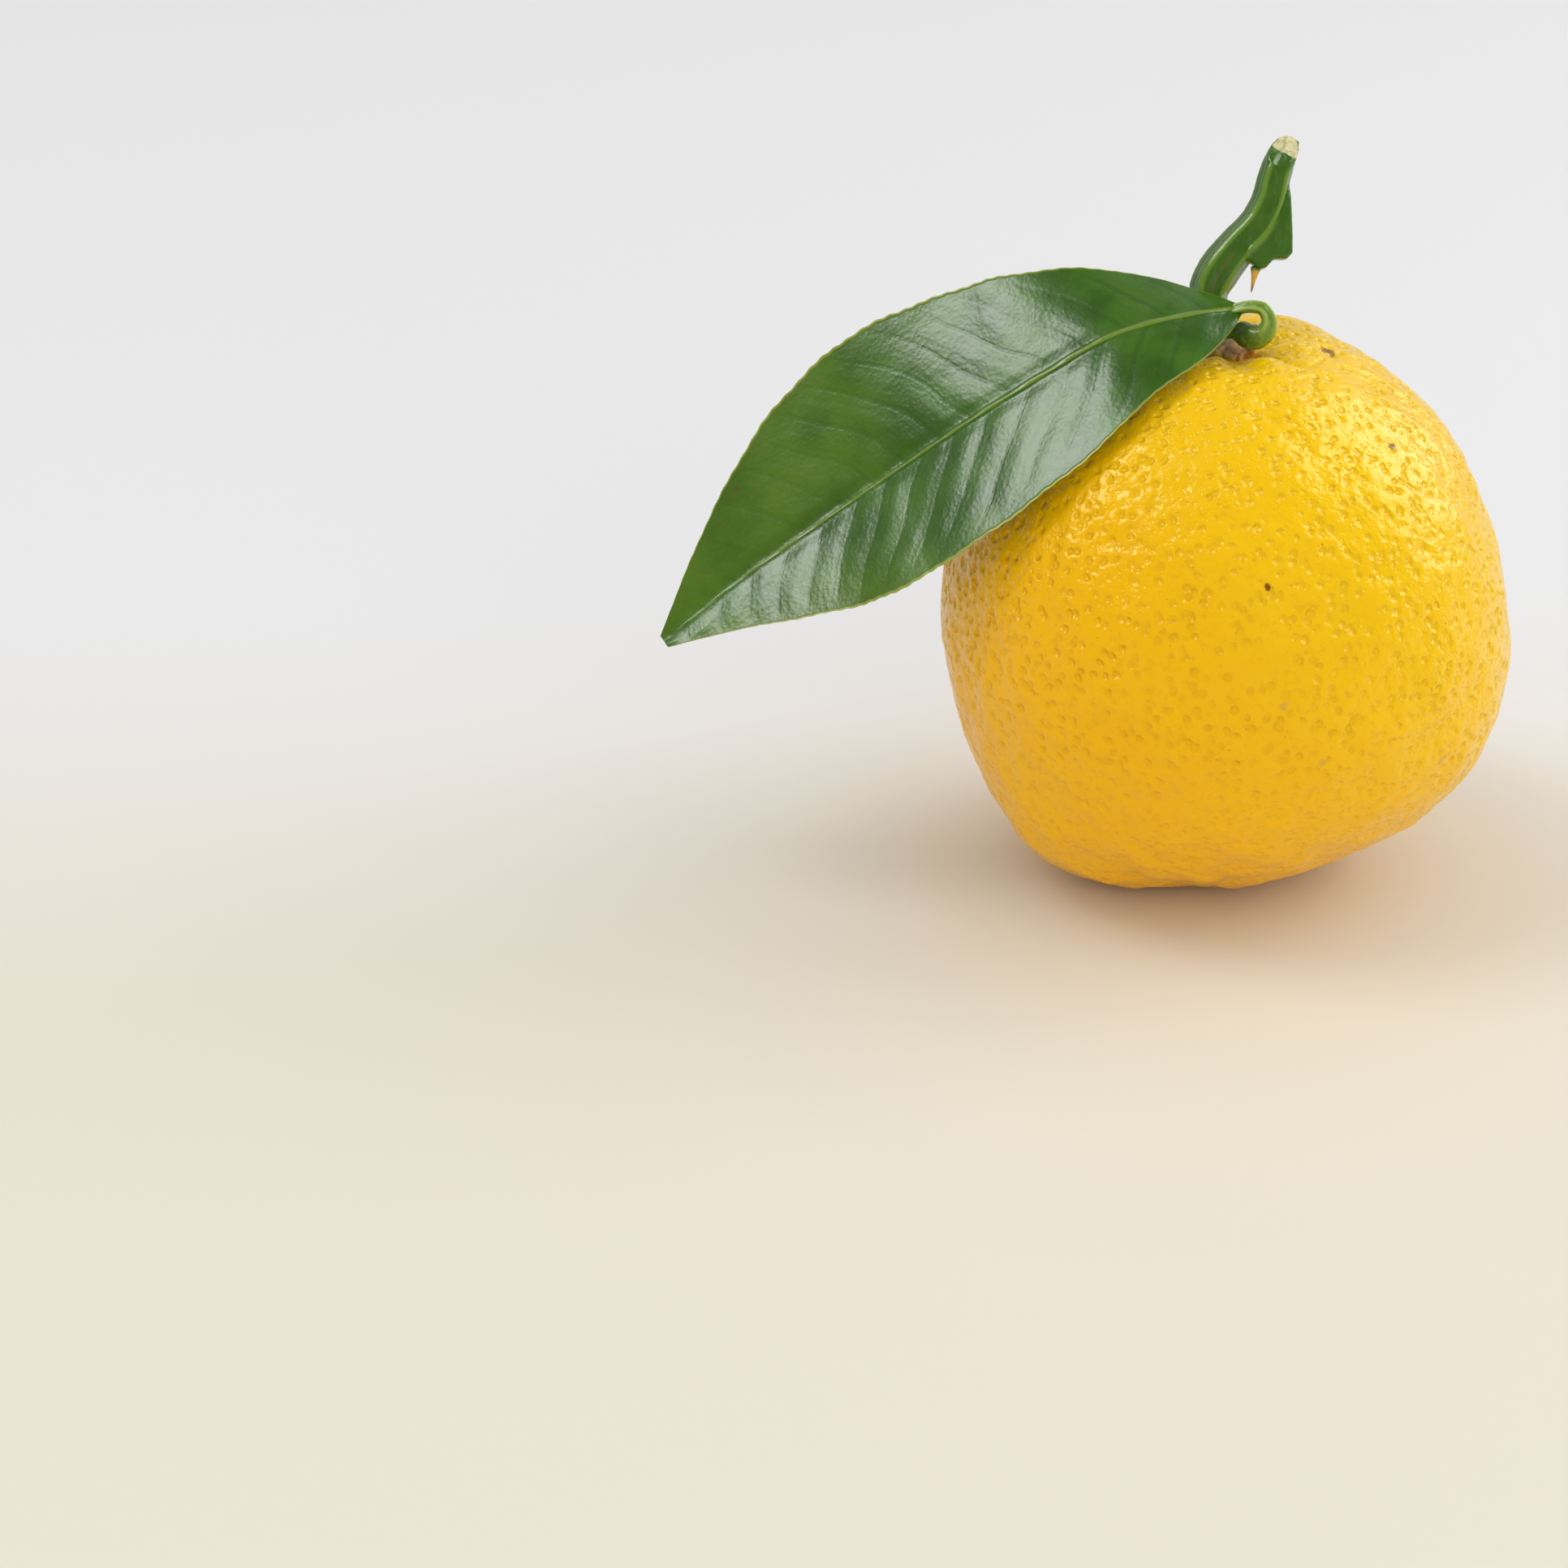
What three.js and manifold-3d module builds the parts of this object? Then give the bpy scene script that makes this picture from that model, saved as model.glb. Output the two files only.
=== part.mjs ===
// A picked yuzu: the whole fruit with its calyx, a short cut twig with one thorn, and one leaf on its stalk.
// Units are millimetres and +Z is up. The origin is the middle of the flat spot that the fruit rests on.
// Seen from the front, looking along +Y, the leaf reaches out to the left and the twig to the upper right.

import * as THREE from "three";
import { mergeVertices } from "three/addons/utils/BufferGeometryUtils.js";
import Module from "manifold-3d";

const wasm = await Module();
wasm.setup();

const { degToRad, lerp, smoothstep } = THREE.MathUtils;

// ---------------------------------------------------------------- sizes

const FRUIT = {
  radius: 34.3,
  centreHeight: 33.4, // a little under the radius, which leaves a flat spot to rest on
  fineness: 15, // subdivisions of the starting icosahedron
};

// Broad rises and hollows of the rind: where each one faces, its height and how far it spreads.
const SWELLS = [
  { faces: [0.88, -0.2, -0.43], rise: 1.7, spread: 20 }, // full lower right
  { faces: [0.98, 0.07, 0.17], rise: -1.5, spread: 20 }, // waist on the right
  { faces: [0.19, 0.41, 0.89], rise: 1.4, spread: 11 }, // shoulder to the right of the stem
  { faces: [0.34, -0.4, -0.85], rise: -0.7, spread: 14 },
  { faces: [-0.3, -0.55, 0.78], rise: 0.3, spread: 24 },
  { faces: [-0.85, 0.3, -0.43], rise: 0.9, spread: 28 },
  { faces: [-0.1, 0.97, 0.2], rise: -0.8, spread: 24 },
  { faces: [0.35, 0.85, -0.4], rise: 0.8, spread: 22 },
  { faces: [-0.25, -0.93, -0.27], rise: 0.4, spread: 26 },
  { faces: [-0.58, -0.34, -0.74], rise: 3.9, spread: 14 }, // broad foot at the front left
  { faces: [-0.5, 0.4, -0.77], rise: 1.6, spread: 20 },
];

// The dimple that the stem sits in, with soft ribs round it and one deeper fold to the front right.
const DIMPLE = { x: -1.4, y: 1.1, depth: 3, radius: 6.4, ribs: 5, ribShare: 0.12, ribTurn: 40 };
const FOLD = { heading: -42, depth: 0.9, width: 2.4, from: 2, to: 13 };

const CALYX = { radius: 3.5, lobes: 5, lobeShare: 0.2, rim: 0.4, crown: 0.6, crownRadius: 2 };
const CALYX_CLEARANCE = 0.75;

// The stem's own frame leans back from upright, with its origin in the dimple.
const STEM = { height: 65.5, lean: 25 };

// The middle line of the twig in the stem's frame: right, up and front.
const TWIG_ROUTE = [
  [-0.6, 2.7, 0.7],
  [-1.2, 3.9, 0.2],
  [-1.9, 5.3, -0.5],
  [-2, 7.3, -0.9],
  [-0.8, 9.7, -0.5],
  [1.3, 12.4, 0],
  [3.5, 14.9, 0.5],
  [4.8, 17.5, 1],
  [5.5, 20.4, 1.5],
  [6.6, 23.9, 2],
];
const TWIG = { rings: 36, sides: 18, ridges: 3, ridgeShare: 0.11, ridgeTurn: 75 };
// How the twig's end faces slope to the right and to the front: the foot is level, the top cut at a slant.
const TWIG_FOOT = { right: -0.5, front: -0.95, reach: 0.12 };
const TWIG_CUT = { right: 0.4, front: -0.75, reach: 0.14 };
// Half the twig's width at shares of its length.
const TWIG_WIDTHS = [
  [0, 1.8],
  [0.12, 2],
  [0.3, 2.45],
  [0.5, 2.25],
  [0.62, 2.1],
  [0.8, 1.9],
  [1, 1.75],
];

// The cushion that a fallen leaf left on the twig: its outline from the side, and its thickness.
const LEAF_CUSHION_OUTLINE = [
  [7.3, 20],
  [7.5, 16.6],
  [7.6, 13.4],
  [7.6, 11.4],
  [6.9, 10.7],
  [5.4, 10.7],
  [4.5, 9.7],
  [3.5, 9.4],
  [2.3, 10.7],
  [2.2, 13],
  [4.8, 18.4],
];
const LEAF_CUSHION = { middle: 0.9, thickness: 1.5, rounding: 0.45 };

const THORN = { base: [3.3, 9.05, 0.9], tip: [2.9, 6.8, 0.9], radius: 0.5 };

// The middle line of the leaf's stalk: out of the twig, a turn to the right, and back over to the blade.
const STALK_ROUTE = [
  [1.8, 1.7, 2.4],
  [2.3, 1.3, 3.2],
  [3.1, 1.15, 4.1],
  [3.95, 1.6, 4.9],
  [4.3, 2.8, 5.4],
  [3.75, 4.1, 5.4],
  [2.7, 4.75, 4.9],
  [1.9, 4.85, 4.2],
];
const STALK = { rings: 24, sides: 12 };
// Half the stalk's width at shares of its length: a swollen foot, and a narrow band at the blade.
const STALK_WIDTHS = [
  [0, 1.15],
  [0.15, 1.35],
  [0.35, 1.3],
  [0.55, 1.05],
  [0.8, 1],
  [1, 0.9],
];
const STALK_FLATTEN = 0.72; // thickness of the band against its width, at the blade

// The midrib of the leaf, from the stalk over the fruit's shoulder to the tip.
const MIDRIB = [
  [-0.5, -0.6, 71.2],
  [-7, -3.1, 71.1],
  [-15.5, -5.4, 69.5],
  [-23.9, -5.9, 64.6],
  [-32.1, -4.7, 58.6],
  [-40.1, -2.7, 52],
  [-48.5, -1.2, 45.2],
  [-59, -1.6, 37.4],
  [-68.6, -3, 29.6],
];
const LEAF = { thickness: 0.7, edgeShare: 0.5, lengthSteps: 32, widthSteps: 8 };
// The width of the blade's front half at distances along it, and how much wider the back half is.
const FRONT_WIDTHS = [
  [0, 1],
  [2.6, 3.6],
  [7, 6.9],
  [16, 10.9],
  [26, 14.5],
  [37, 16.4],
  [49, 16.4],
  [57, 14.6],
  [66, 10.4],
  [75, 5.3],
  [84, 0.8],
];
const BACK_EXTRA = [
  [0, 0],
  [10, 0.6],
  [30, 1.4],
  [44, 2],
  [58, 1.6],
  [72, 0.6],
  [84, 0],
];
// The way the blade faces, and how far its halves rise from flat, at shares of its length.
const BLADE_FACES = [
  { at: 0, faces: [-0.15, -0.42, 0.9], fold: -10 },
  { at: 0.35, faces: [-0.26, -0.56, 0.78], fold: 3 },
  { at: 0.6, faces: [-0.29, -0.6, 0.74], fold: 11 },
  { at: 1, faces: [-0.36, -0.5, 0.78], fold: 8 },
];

// ---------------------------------------------------------------- finishes

const finish = (color, roughness) =>
  new THREE.MeshStandardMaterial({ color, roughness, metalness: 0 });

const RIND = finish(0xf9c80e, 0.42);
const DRY_CALYX = finish(0x9a6a2c, 0.75);
const TWIG_BARK = finish(0x3f7d2a, 0.5);
const THORN_TIP = finish(0xc9781e, 0.5);
const LEAF_STALK = finish(0x4f8f2d, 0.45);
const LEAF_GREEN = finish(0x2c6b25, 0.35);

// ---------------------------------------------------------------- shared helpers

// The height of a smooth line through the given [across, height] points.
function heightAt(points, across) {
  const last = points.length - 1;
  let left = 0;
  while (left < last - 1 && across > points[left + 1][0]) left += 1;
  const [x0, y0] = points[left];
  const [x1, y1] = points[left + 1];
  const slope = (i) => {
    const before = points[Math.max(i - 1, 0)];
    const after = points[Math.min(i + 1, last)];
    return (after[1] - before[1]) / (after[0] - before[0]);
  };
  const t = THREE.MathUtils.clamp((across - x0) / (x1 - x0), 0, 1);
  const width = x1 - x0;
  const startWeight = (1 + 2 * t) * (1 - t) ** 2;
  const endWeight = t * t * (3 - 2 * t);
  const startSlope = t * (1 - t) ** 2 * width * slope(left);
  const endSlope = t * t * (t - 1) * width * slope(left + 1);
  return y0 * startWeight + y1 * endWeight + startSlope + endSlope;
}

const smoothRoute = (points) =>
  new THREE.CatmullRomCurve3(
    points.map((point) => new THREE.Vector3(...point)),
    false,
    "centripetal",
  );

// Moves every vertex of a geometry to move(vertex), and leaves only positions on it.
function reshape(geometry, move) {
  const position = geometry.getAttribute("position");
  for (let i = 0; i < position.count; i += 1) {
    const moved = move(new THREE.Vector3().fromBufferAttribute(position, i));
    position.setXYZ(i, moved.x, moved.y, moved.z);
  }
  geometry.deleteAttribute("normal");
  geometry.deleteAttribute("uv");
  return mergeVertices(geometry, 1e-3);
}

// A closed rod along a route. reachAt gives its radius at a share of the length and an angle round it,
// with 0 to the right and a quarter turn to the front; shiftAt slides a point along the route.
function sweep(route, rings, sides, reachAt, shiftAt = () => 0) {
  const forward = new THREE.Vector3(0, 0, 1);
  return reshape(new THREE.CylinderGeometry(1, 1, 1, sides, rings), (vertex) => {
    const along = THREE.MathUtils.clamp(vertex.y + 0.5, 0, 1);
    const around = Math.atan2(vertex.z, vertex.x);
    const onAxis = Math.hypot(vertex.x, vertex.z) < 0.5;
    const reach = onAxis ? 0 : reachAt(along, around);
    const tangent = route.getTangentAt(along);
    const rightWay = new THREE.Vector3().crossVectors(tangent, forward).normalize();
    const frontWay = new THREE.Vector3().crossVectors(rightWay, tangent);
    const right = reach * Math.cos(around);
    const front = reach * Math.sin(around);
    return route
      .getPointAt(along)
      .addScaledVector(rightWay, right)
      .addScaledVector(frontWay, front)
      .addScaledVector(tangent, shiftAt(along, right, front));
  });
}

function toSolid(geometry) {
  return new wasm.Manifold(
    new wasm.Mesh({
      numProp: 3,
      vertProperties: new Float32Array(geometry.getAttribute("position").array),
      triVerts: new Uint32Array(geometry.index.array),
    }),
  );
}

function toGeometry(solid) {
  const mesh = solid.getMesh();
  return new THREE.BufferGeometry()
    .setAttribute("position", new THREE.BufferAttribute(mesh.vertProperties, 3))
    .setIndex(new THREE.BufferAttribute(mesh.triVerts, 1));
}

function piece(name, geometry, material) {
  geometry.computeVertexNormals();
  const mesh = new THREE.Mesh(geometry, material);
  mesh.name = name;
  return mesh;
}

// ---------------------------------------------------------------- fruit and calyx

const swells = SWELLS.map(({ faces, rise, spread }) => ({
  faces: new THREE.Vector3(...faces).normalize(),
  rise,
  falloff: degToRad(spread) ** 2,
}));

// How far the dimple and its fold sink the top of the fruit at a point beside the stem.
function sinkAt(x, y) {
  const reach = Math.hypot(x - DIMPLE.x, y - DIMPLE.y);
  const heading = Math.atan2(y - DIMPLE.y, x - DIMPLE.x);
  const ribs = Math.cos(DIMPLE.ribs * heading + degToRad(DIMPLE.ribTurn));
  const dimple = DIMPLE.depth * Math.exp(-((reach / (DIMPLE.radius * (1 + DIMPLE.ribShare * ribs))) ** 2));
  const turn = heading - degToRad(FOLD.heading);
  const across = reach * Math.sin(turn);
  const ahead = Math.cos(turn) > 0 ? reach : 0;
  const length = smoothstep(ahead, 0, FOLD.from) * (1 - smoothstep(ahead, FOLD.from, FOLD.to));
  return dimple + FOLD.depth * length * Math.exp(-((across / FOLD.width) ** 2));
}

// The point of the rind in a given direction from the middle of the fruit.
function rindPoint(direction) {
  const faces = direction.clone().normalize();
  let radius = FRUIT.radius;
  for (const swell of swells) {
    radius += swell.rise * Math.exp((faces.dot(swell.faces) - 1) / swell.falloff);
  }
  const point = faces.multiplyScalar(radius);
  point.z += FRUIT.centreHeight;
  if (point.z > FRUIT.centreHeight) point.z -= sinkAt(point.x, point.y);
  point.z = Math.max(point.z, 0);
  return point;
}

function rindTopAt(x, y) {
  const up = Math.sqrt(FRUIT.radius ** 2 - x * x - y * y);
  return rindPoint(new THREE.Vector3(x, y, up)).z;
}

function makeFruit() {
  const ball = new THREE.IcosahedronGeometry(FRUIT.radius, FRUIT.fineness);
  return piece("fruit", reshape(ball, rindPoint), RIND);
}

// A five-lobed collar that follows the floor of the dimple, with a low crown where the twig leaves it.
function makeCalyx() {
  const steps = 4;
  const profile = [];
  for (let i = 0; i <= steps; i += 1) profile.push(new THREE.Vector2(i / steps, 0));
  for (let i = steps; i >= 0; i -= 1) profile.push(new THREE.Vector2(i / steps, 1));
  const collar = new THREE.LatheGeometry(profile, CALYX.lobes * 6);
  const geometry = reshape(collar, (vertex) => {
    const share = Math.hypot(vertex.x, vertex.z);
    const heading = Math.atan2(vertex.x, vertex.z);
    const lobe = 1 + CALYX.lobeShare * (Math.cos(CALYX.lobes * heading) - 1) * smoothstep(share, 0.4, 1);
    const reach = share * CALYX.radius * lobe;
    const x = DIMPLE.x + reach * Math.cos(heading);
    const y = DIMPLE.y + reach * Math.sin(heading);
    const crown = 1 - smoothstep(reach, CALYX.crownRadius * 0.8, CALYX.crownRadius * 1.3);
    const thickness = lerp(CALYX.rim, CALYX.crown, crown);
    return new THREE.Vector3(x, y, rindTopAt(x, y) + CALYX_CLEARANCE + vertex.y * thickness);
  });
  return piece("calyx", geometry, DRY_CALYX);
}

// ---------------------------------------------------------------- twig, thorn and stalk

// The twig has blunt ridges along it, and its upper end is cut across at a slant.
function makeTwig() {
  const reachAt = (along, around) => {
    const ridge = Math.cos(TWIG.ridges * around + degToRad(TWIG.ridgeTurn));
    return heightAt(TWIG_WIDTHS, along) * (1 + TWIG.ridgeShare * ridge);
  };
  const shiftAt = (along, right, front) => {
    const foot = 1 - smoothstep(along, 0, TWIG_FOOT.reach);
    const cut = smoothstep(along, 1 - TWIG_CUT.reach, 1);
    return (
      foot * (TWIG_FOOT.right * right + TWIG_FOOT.front * front) +
      cut * (TWIG_CUT.right * right + TWIG_CUT.front * front)
    );
  };
  const rod = sweep(smoothRoute(TWIG_ROUTE), TWIG.rings, TWIG.sides, reachAt, shiftAt);

  const outline = new THREE.Shape(LEAF_CUSHION_OUTLINE.map((point) => new THREE.Vector2(...point)));
  const cushion = new THREE.ExtrudeGeometry(outline, {
    depth: LEAF_CUSHION.thickness,
    bevelThickness: LEAF_CUSHION.rounding,
    bevelSize: LEAF_CUSHION.rounding,
    bevelOffset: -LEAF_CUSHION.rounding,
    bevelSegments: 3,
  });
  cushion.translate(0, 0, LEAF_CUSHION.middle - LEAF_CUSHION.thickness / 2);
  const joined = toSolid(rod).add(toSolid(reshape(cushion, (vertex) => vertex)));
  return piece("twig", toGeometry(joined), TWIG_BARK);
}

function makeThorn() {
  const route = new THREE.LineCurve3(new THREE.Vector3(...THORN.base), new THREE.Vector3(...THORN.tip));
  const reachAt = (along) => THORN.radius * (1 - 0.9 * along);
  return piece("thorn", sweep(route, 6, 10, reachAt), THORN_TIP);
}

// The stalk swells at its foot and flattens into a band where it meets the blade.
function makeStalk() {
  const reachAt = (along, around) => {
    const flat = lerp(1, STALK_FLATTEN, smoothstep(along, 0.4, 0.8));
    return heightAt(STALK_WIDTHS, along) / Math.hypot(Math.cos(around) / flat, Math.sin(around));
  };
  return piece("leaf_stalk", sweep(smoothRoute(STALK_ROUTE), STALK.rings, STALK.sides, reachAt), LEAF_STALK);
}

// ---------------------------------------------------------------- leaf

// The way the blade faces and the rise of its halves at a share of its length.
function bladeFaceAt(along) {
  const next = Math.max(1, BLADE_FACES.findIndex(({ at }) => at >= along));
  const [from, to] = [BLADE_FACES[next - 1], BLADE_FACES[next]];
  const share = smoothstep(along, from.at, to.at);
  const faces = new THREE.Vector3(...from.faces).lerp(new THREE.Vector3(...to.faces), share).normalize();
  return { faces, fold: degToRad(lerp(from.fold, to.fold, share)) };
}

// The blade is a thin slab whose length follows the midrib and whose halves lift or drop along it.
function makeLeaf() {
  const midrib = smoothRoute(MIDRIB);
  const length = midrib.getLength();
  const slab = new THREE.BoxGeometry(1, 2, 1, LEAF.lengthSteps, LEAF.widthSteps, 1);
  const geometry = reshape(slab, (vertex) => {
    const along = vertex.x + 0.5;
    const { faces, fold } = bladeFaceAt(along);
    const tangent = midrib.getTangentAt(along);
    const side = new THREE.Vector3().crossVectors(faces, tangent).normalize();
    const normal = new THREE.Vector3().crossVectors(tangent, side);
    const extra = vertex.y < 0 ? heightAt(BACK_EXTRA, along * length) : 0;
    const across = vertex.y * (heightAt(FRONT_WIDTHS, along * length) + extra);
    const thickness = LEAF.thickness * lerp(1, LEAF.edgeShare, vertex.y ** 4);
    return midrib
      .getPointAt(along)
      .addScaledVector(side, across * Math.cos(fold))
      .addScaledVector(normal, Math.abs(across) * Math.sin(fold) + vertex.z * thickness);
  });
  return piece("leaf", geometry, LEAF_GREEN);
}

// ---------------------------------------------------------------- the whole yuzu

const stem = new THREE.Group();
stem.position.set(DIMPLE.x, DIMPLE.y, STEM.height);
stem.rotation.x = degToRad(90 - STEM.lean);
stem.add(makeTwig(), makeThorn(), makeStalk());

const yuzu = new THREE.Group();
yuzu.add(makeFruit(), makeCalyx(), stem, makeLeaf());

export default yuzu;
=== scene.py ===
import math

import bpy
import numpy as np
from mathutils import Matrix, Vector


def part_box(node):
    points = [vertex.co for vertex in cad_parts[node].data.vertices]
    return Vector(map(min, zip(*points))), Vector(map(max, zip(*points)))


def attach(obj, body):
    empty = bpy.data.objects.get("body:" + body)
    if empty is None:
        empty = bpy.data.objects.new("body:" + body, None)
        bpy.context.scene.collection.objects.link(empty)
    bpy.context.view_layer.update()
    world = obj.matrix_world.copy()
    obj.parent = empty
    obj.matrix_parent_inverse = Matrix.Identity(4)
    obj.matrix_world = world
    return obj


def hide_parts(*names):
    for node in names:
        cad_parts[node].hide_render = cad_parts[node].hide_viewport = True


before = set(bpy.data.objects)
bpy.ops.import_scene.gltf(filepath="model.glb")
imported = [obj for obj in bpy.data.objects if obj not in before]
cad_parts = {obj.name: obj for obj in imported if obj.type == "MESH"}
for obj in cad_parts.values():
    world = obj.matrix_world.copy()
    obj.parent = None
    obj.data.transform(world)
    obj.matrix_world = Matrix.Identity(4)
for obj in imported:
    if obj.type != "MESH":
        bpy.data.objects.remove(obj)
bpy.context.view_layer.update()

bl_info = {
    "name": "Yuzu with leaf",
    "version": (1, 0, 0),
    "blender": (4, 5, 0),
    "location": "3D View > Sidebar > Yuzu",
    "description": "Models a ripe yuzu fruit with its calyx, cut twig, thorn, leaf stalk and leaf",
    "category": "Object",
}

MM = 0.001

# ---------------------------------------------------------------- the plant's routes, in millimetres

# The stem parts are laid out in the stem's own frame: right, up the stem, and out to its front.
STEM_FOOT = (-1.4, 1.1, 65.5)
STEM_LEAN = 25
STEM_FRAME = Matrix.Translation(Vector(STEM_FOOT)) @ Matrix.Rotation(math.radians(90 - STEM_LEAN), 4, "X")

TWIG_ROUTE = [
    (-0.6, 2.7, 0.7), (-1.2, 3.9, 0.2), (-1.9, 5.3, -0.5), (-2, 7.3, -0.9), (-0.8, 9.7, -0.5),
    (1.3, 12.4, 0), (3.5, 14.9, 0.5), (4.8, 17.5, 1), (5.5, 20.4, 1.5), (6.6, 23.9, 2),
]
TWIG_WIDTHS = [(0, 1.8), (0.12, 2), (0.3, 2.45), (0.5, 2.25), (0.62, 2.1), (0.8, 1.9), (1, 1.75)]
TWIG_RIDGES, TWIG_RIDGE_TURN = 5, 110
BODY_RIDGES, BODY_RIDGE_TURN = 3, 75  # the broad ridges that the CAD twig has

THORN_BASE = (3.35, 9.9, 0.9)
THORN_TIP = (2.75, 6.75, 0.9)

STALK_ROUTE = [
    (1.8, 1.7, 2.4), (2.3, 1.3, 3.2), (3.1, 1.15, 4.1), (3.95, 1.6, 4.9),
    (4.3, 2.8, 5.4), (3.75, 4.1, 5.4), (2.7, 4.75, 4.9), (1.9, 4.85, 4.2),
]

MIDRIB = [
    (-0.5, -0.6, 71.2), (-7, -3.1, 71.1), (-15.5, -5.4, 69.5), (-23.9, -5.9, 64.6), (-32.1, -4.7, 58.6),
    (-40.1, -2.7, 52), (-48.5, -1.2, 45.2), (-59, -1.6, 37.4), (-68.6, -3, 29.6),
]
FRONT_WIDTHS = [
    (0, 1), (2.6, 3.6), (7, 6.9), (16, 10.9), (26, 14.5), (37, 16.4), (49, 16.4), (57, 14.6), (66, 10.4),
    (75, 5.3), (84, 0.3),
]
BACK_EXTRA = [(0, 0), (10, 0.6), (30, 1.4), (44, 2), (58, 1.6), (72, 0.6), (84, 0)]
# The way the blade faces along its length, and how far its halves rise, in degrees.
BLADE_FACES = [
    (0, (-0.15, -0.42, 0.9), -6), (0.35, (-0.26, -0.56, 0.78), 3),
    (0.6, (-0.29, -0.62, 0.73), 9), (1, (-0.3, -0.7, 0.65), 8),
]

STEM_HOLLOW = (-1.4 * MM, 1.1 * MM)  # middle of the hollow round the stem
GROOVE_HEADING = math.radians(-42)

FRUIT_MIDDLE = Vector((0, 0, 33.4))
# Brown specks and healed scars on the rind: middle, radius and whether it is a pale scar.
RIND_MARKS = [
    ((10.7, -0.1, 66.3), 1.1, False), ((16.7, -15.2, 59.6), 0.75, False),
    ((0.7, -31.2, 48.4), 0.6, False), ((2.9, -34.4, 35.0), 0.7, True),
    ((7.9, -33.1, 27.2), 0.8, True), ((23.2, -23.6, 23.4), 0.9, True),
]

# ---------------------------------------------------------------- fineness

# Voxels are in millimetres, and rounds are rounds of smoothing.
BALL_CUTS = 100  # across each side of the cube that becomes the rind, the most that one subdivide makes
RIND_ROUNDS = 30
CALYX_VOXEL, CALYX_ROUNDS = 0.13, 4
TWIG_VOXEL, TWIG_ROUNDS = 0.15, 5
STALK_VOXEL, STALK_ROUNDS = 0.11, 5
BLADE_ROWS, BLADE_COLUMNS = 240, 90
ROUTE_STEPS = 400

# ---------------------------------------------------------------- small shapes, in millimetres

FOLDS, FOLD_DEPTH, GROOVE_DEPTH = 7, 0.34, 0.6  # round the stem, where the rind is drawn in
PIT_BUMP, RIPPLE_BUMP = 0.22, 0.24  # of the rind's material
BROAD_RIDGE = 0.2  # height of the CAD twig's ridges
THORN_RADIUS, THORN_POINT = 0.75, 0.04
THORN_WAIST = 0.28  # how much narrower the thorn is halfway, as a share
RIB_HEIGHT, GUTTER_DEPTH, BLADE_WAVES = 0.16, 0.12, 0.16  # on the upper side of the blade
TOOTH_LENGTH, WAVE_LENGTH = 1.9, 8.3  # along the blade's margin
TEETH_START = 8  # how far from the stalk the margin's teeth begin
MIDRIB_SHARE = 0.66  # share of the blade's full thickness that only its midrib has

# ---------------------------------------------------------------- stage, in millimetres and degrees

LIGHT_DISTANCE, LIGHT_AIM = 1500, 35  # from the point aimed at, and that point's height
FLOOR_SIZE = 8000
CAMERA_PLACE, CAMERA_TILT = (-54.1, -443.2, 215.8), 65
CAMERA_LENS, CAMERA_SENSOR = 90, 36

# ---------------------------------------------------------------- fixed colours

SPECK_BROWN, MARK_BROWN, SCAR_TAN = (0.25, 0.11, 0.01, 1), (0.2, 0.06, 0.002, 1), (0.6, 0.33, 0.07, 1)
CALYX_SHADE, CALYX_DARK = (0.2, 0.08, 0.012, 1), (0.06, 0.022, 0.004, 1)
BARK_PATCH, BARK_STREAK = (0.055, 0.15, 0.006, 1), (0.1, 0.22, 0.03, 1)
BARK_BROWN = (0.16, 0.08, 0.03, 1)
PITH_SHADE, THORN_POINT_BROWN = (0.45, 0.42, 0.16, 1), (0.25, 0.07, 0.01, 1)
VEIN_GREEN, GLAND_GREEN = (0.02, 0.075, 0.003, 1), (0.13, 0.25, 0.012, 1)
# Painted light: a lighter, yellower green for the well lit outer parts of the blade towards its tip.
LIT_PATCH_GREEN = (0.11, 0.2, 0.005, 1)
MARGIN_GREEN, LEAF_SPOT = (0.36, 0.4, 0.06, 1), (0.14, 0.05, 0.015, 1)
UNDERSIDE_CLOUD, UNDERSIDE_VEIN = (0.2, 0.34, 0.08, 1), (0.36, 0.48, 0.14, 1)
# The crest colour is the stalk's paler green with a painted highlight on its ridges; the line colour is
# painted shade in its channel.
STALK_CREST_AND_HIGHLIGHT, STALK_CHANNEL_SHADE = (0.33, 0.47, 0.08, 1), (0.06, 0.15, 0.01, 1)
STALK_CLOUD, STALK_SPECK = (0.3, 0.42, 0.08, 1), (0.2, 0.12, 0.03, 1)

# ---------------------------------------------------------------- node sheets


class Link:
    """An output of a node, on which sums read as plain arithmetic."""

    def __init__(self, sheet, socket):
        self.sheet, self.socket = sheet, socket

    def math(self, operation, *others, clamp=False):
        inputs = dict(enumerate((self, *others)))
        return self.sheet.add("ShaderNodeMath", {"operation": operation, "use_clamp": clamp}, inputs)

    def __add__(self, other):
        return self.math("ADD", other)

    def __sub__(self, other):
        return self.math("SUBTRACT", other)

    def __mul__(self, other):
        return self.math("MULTIPLY", other)

    def __pow__(self, other):
        return self.math("POWER", other)

    def __neg__(self):
        return self.math("MULTIPLY", -1)

    def __rsub__(self, other):
        return (-self).math("ADD", other)

    __radd__ = __add__
    __rmul__ = __mul__

    def size(self):
        return self.math("ABSOLUTE")

    def at_least(self, other):
        return self.math("MAXIMUM", other)

    def at_most(self, other):
        return self.math("MINIMUM", other)

    def ease(self, start, end):
        """Goes smoothly from 0 at start to 1 at end."""
        return self.sheet.add(
            "ShaderNodeMapRange", {"interpolation_type": "SMOOTHSTEP"},
            {"Value": self, "From Min": start, "From Max": end},
        )


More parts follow.
